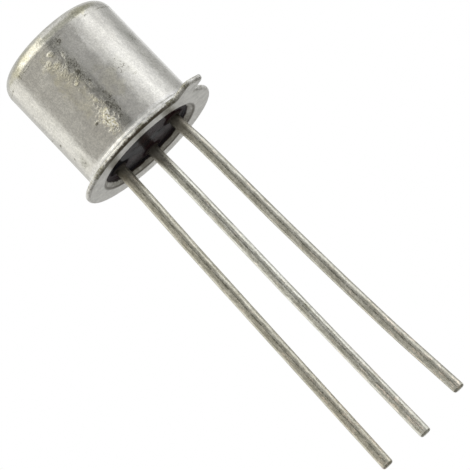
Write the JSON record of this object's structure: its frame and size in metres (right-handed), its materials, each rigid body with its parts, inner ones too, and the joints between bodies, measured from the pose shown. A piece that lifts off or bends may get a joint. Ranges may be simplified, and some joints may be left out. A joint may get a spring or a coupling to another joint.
{
  "type": "metal-can transistor",
  "caption": "Small-signal transistor in a round plated metal can with an index tab, on a glass-sealed header with straight wire leads for soldering into a board.",
  "frame": {"origin": "centre of the seating plane, the underside of the header's flange, on the can's axis", "axes": "+Z along the can's axis, from the seating plane to the can top; +X through the emitter lead, +Y through the base lead, collector lead at -X, index tab between +X and -Y"},
  "size_m": [0.0057, 0.0056, 0.0188],
  "materials": {
    "plated_can": "satin nickel or tin plate, scuffed along the can",
    "plated_header": "matt plate",
    "dark_glass": "near-black sealing glass, glossy",
    "tinned_lead": "dull tinned wire with drawing lines",
    "silicon": "polished silicon",
    "gold": "gold"
  },
  "bodies": {
    "root": {"cap": "plated_can", "header": "plated_header", "glass_seal": "dark_glass", "lead_emitter": "tinned_lead", "lead_base": "tinned_lead", "lead_collector": "tinned_lead", "chip": "silicon", "die_bond": "gold", "emitter_bond_wire": "gold", "base_bond_wire": "gold"}
  },
  "joints": []
}
